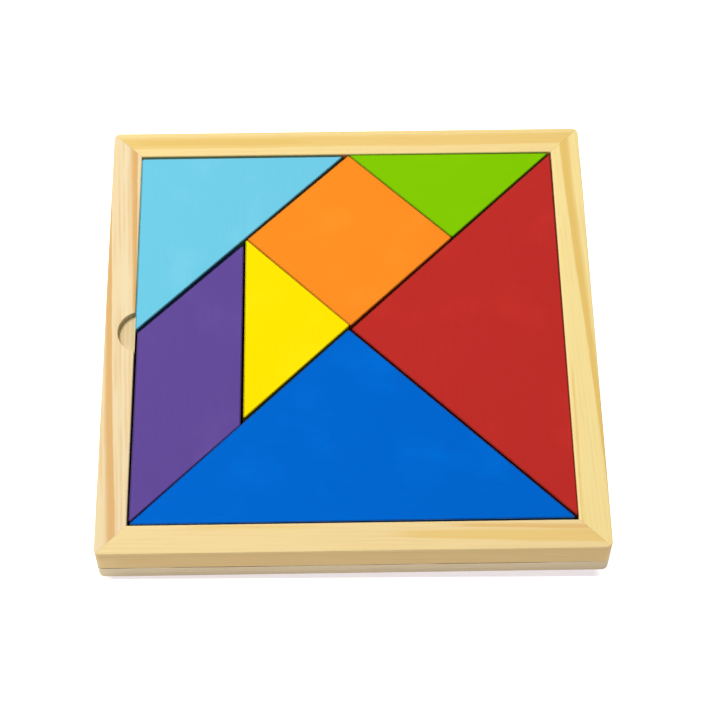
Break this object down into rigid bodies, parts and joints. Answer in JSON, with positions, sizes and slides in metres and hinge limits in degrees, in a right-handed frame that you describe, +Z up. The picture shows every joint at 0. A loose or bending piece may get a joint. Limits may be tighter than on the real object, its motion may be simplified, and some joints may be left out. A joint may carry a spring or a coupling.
{
  "type": "tangram puzzle",
  "caption": "Square wooden tray with a mitred frame and a finger notch, filled by painted tangram blocks: triangles, a square and a parallelogram.",
  "frame": {"origin": "under the middle of the tray, on the surface that it stands on", "axes": "+X to the right, away from the notched rail; +Y away from the player, towards the back rail; +Z up out of the pocket"},
  "size_m": [0.185, 0.185, 0.0189],
  "materials": {
    "base_plywood": "bare sanded plywood",
    "rail_pine": "clear satin lacquer over pine",
    "paint_blue": "satin paint",
    "paint_red": "satin paint",
    "paint_light_blue": "satin paint",
    "paint_green": "satin paint",
    "paint_yellow": "satin paint",
    "paint_orange": "satin paint",
    "paint_purple": "satin paint"
  },
  "bodies": {
    "root": {"base_board": "base_plywood", "rail_front": "rail_pine", "rail_back": "rail_pine", "rail_left": "rail_pine", "rail_right": "rail_pine", "large_triangle_blue": "paint_blue", "large_triangle_red": "paint_red", "medium_triangle_light_blue": "paint_light_blue", "small_triangle_green": "paint_green", "small_triangle_yellow": "paint_yellow", "square_orange": "paint_orange", "parallelogram_purple": "paint_purple"}
  },
  "joints": []
}
